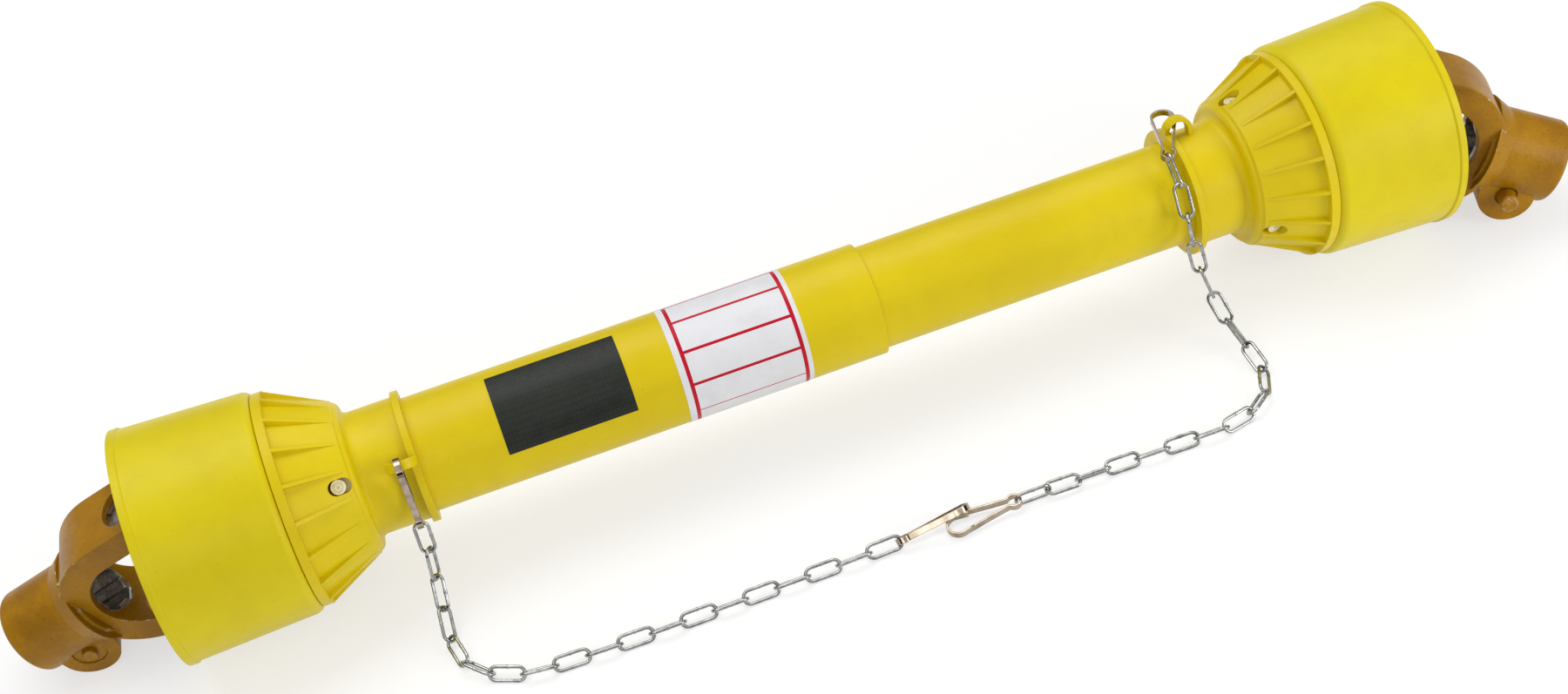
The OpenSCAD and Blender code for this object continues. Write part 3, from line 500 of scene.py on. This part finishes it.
# The return spring round each push pin, which shortens against its washer as
# the pin goes in. Drawn in the yoke's own frame, then swung into place.
def return_spring(side, joint, turn):
    wire_radius, coil_radius, coils, steps = 0.00065, 0.00635, 3.5, 112
    first, last, washer = 0.0047, 0.0173, 0.018
    bm = bmesh.new()
    section = Matrix.Translation((pin_drop.x + coil_radius, first, pin_drop.z))
    bmesh.ops.create_circle(bm, cap_ends=False, segments=12, radius=wire_radius, matrix=section)
    bmesh.ops.spin(bm, geom=bm.verts[:] + bm.edges[:], cent=pin_drop, axis=(0, 1, 0),
                   dvec=(0, (last - first) / steps, 0), angle=math.radians(360 * coils),
                   steps=steps)
    bmesh.ops.remove_doubles(bm, verts=bm.verts, dist=1e-7)
    bmesh.ops.holes_fill(bm, edges=[edge for edge in bm.edges if edge.is_boundary], sides=0)
    bmesh.ops.recalc_face_normals(bm, faces=bm.faces)
    bmesh.ops.transform(bm, matrix=Matrix.Translation(joint) @ turn.to_4x4(), verts=bm.verts)
    mesh = bpy.data.meshes.new("return_spring_" + side)
    bm.to_mesh(mesh)
    bm.free()
    mesh.shade_smooth()
    mesh.materials.append(steel)
    piece = bpy.data.objects.new("return_spring_" + side, mesh)
    bpy.context.scene.collection.objects.link(piece)
    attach(piece, side + "_end_yoke")
    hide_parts("pin_spring_" + side)
    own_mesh(piece)


return_spring("left", LEFT_JOINT, left_yoke_turn)
return_spring("right", RIGHT_JOINT, right_yoke_turn)


# A plain pale floor in a white surround. The camera and mirror-like surfaces
# see both white, and the floor keeps its shadows. Past the reach of the lamps
# it goes over into the surround's white.
def seen_directly(tree):
    ray = tree.nodes.new("ShaderNodeLightPath")
    seen = ray.outputs["Is Camera Ray"]
    for kind in ("Is Glossy Ray", "Is Transmission Ray"):
        either = tree.nodes.new("ShaderNodeMath")
        either.operation = "MAXIMUM"
        tree.links.new(seen, either.inputs[0])
        tree.links.new(ray.outputs[kind], either.inputs[1])
        seen = either.outputs[0]
    return seen


floor_mesh = bpy.data.meshes.new("floor")
bm = bmesh.new()
bmesh.ops.create_grid(bm, x_segments=1, y_segments=1, size=6.0)
bm.to_mesh(floor_mesh)
bm.free()
floor = bpy.data.objects.new("floor", floor_mesh)
bpy.context.scene.collection.objects.link(floor)
paper = Finish("floor_paper")
seen = Signal(paper, seen_directly(paper.tree))
far = paper.length(paper.place).ramp(0.9, 2.6)
seen_paper = paper.blend(far, (0.42, 0.42, 0.42, 1), (0, 0, 0, 1))
seen_glow = paper.blend(far, (0.62, 0.62, 0.62, 1), (1, 1, 1, 1))
floor_mesh.materials.append(paper.look(
    Base_Color=paper.blend(seen, (0.86, 0.86, 0.86, 1), seen_paper), Roughness=0.9,
    Emission_Color=paper.blend(seen, (0, 0, 0, 1), seen_glow), Emission_Strength=1.0,
    Specular_IOR_Level=0.1))

world = bpy.data.worlds.new("surround")
bpy.context.scene.world = world
world.use_nodes = True
nodes, links = world.node_tree.nodes, world.node_tree.links
nodes.clear()
background = nodes.new("ShaderNodeBackground")
background.inputs["Color"].default_value = (1, 1, 1, 1)
strength = nodes.new("ShaderNodeMapRange")
strength.inputs["To Min"].default_value = 0.44
strength.inputs["To Max"].default_value = 1.0
links.new(seen_directly(world.node_tree), strength.inputs["Value"])
links.new(strength.outputs[0], background.inputs["Strength"])
links.new(background.outputs[0], nodes.new("ShaderNodeOutputWorld").inputs[0])


# Dark cards in a ring round the shaft, which only mirror-like surfaces see.
# They draw the edges of the bare metal.
def dark_card(name, place, aim, width, height):
    mesh = bpy.data.meshes.new(name)
    bm = bmesh.new()
    bmesh.ops.create_grid(bm, x_segments=1, y_segments=1, size=0.5)
    bmesh.ops.scale(bm, vec=(width, height, 1), verts=bm.verts)
    bm.to_mesh(mesh)
    bm.free()
    card = bpy.data.objects.new(name, mesh)
    bpy.context.scene.collection.objects.link(card)
    card.location = place
    card.rotation_euler = (Vector(aim) - Vector(place)).to_track_quat("-Z", "Y").to_euler()
    card.visible_camera = False
    card.visible_diffuse = False
    card.visible_shadow = False
    mesh.materials.append(black)


black = Finish("card_black").look(Base_Color=(0.01, 0.01, 0.01, 1), Roughness=1.0,
                                  Specular_IOR_Level=0.0)
for name, place, width in (
        ("card_left", (-1.8, 0.0, 0.50), 3.6), ("card_right", (1.9, 0.0, 0.50), 3.6),
        ("card_front", (0.0, -1.9, 0.50), 3.8), ("card_back", (0.0, 1.9, 0.50), 3.8)):
    dark_card(name, place, aim=(0, 0, 0.4), width=width, height=0.9)


# Three soft lamps: a broad one above and behind, one in front on the left, and
# a low one in front on the right. Power is in watts.
def softbox(name, place, aim, width, height, power):
    data = bpy.data.lights.new(name, "AREA")
    data.shape = "RECTANGLE"
    data.size = width
    data.size_y = height
    data.energy = power
    lamp = bpy.data.objects.new(name, data)
    bpy.context.scene.collection.objects.link(lamp)
    lamp.location = place
    lamp.rotation_euler = (Vector(aim) - Vector(place)).to_track_quat("-Z", "Y").to_euler()


softbox("overhead", (-0.2, 0.65, 1.75), (0, 0, 0.05), width=2.4, height=1.0, power=20.0)
softbox("front", (-0.9, -1.7, 1.1), (0, 0, 0.05), width=1.0, height=0.8, power=5.0)
softbox("right_side", (1.3, -1.1, 0.55), (0.3, 0, 0.05), width=0.7, height=0.8, power=11.0)
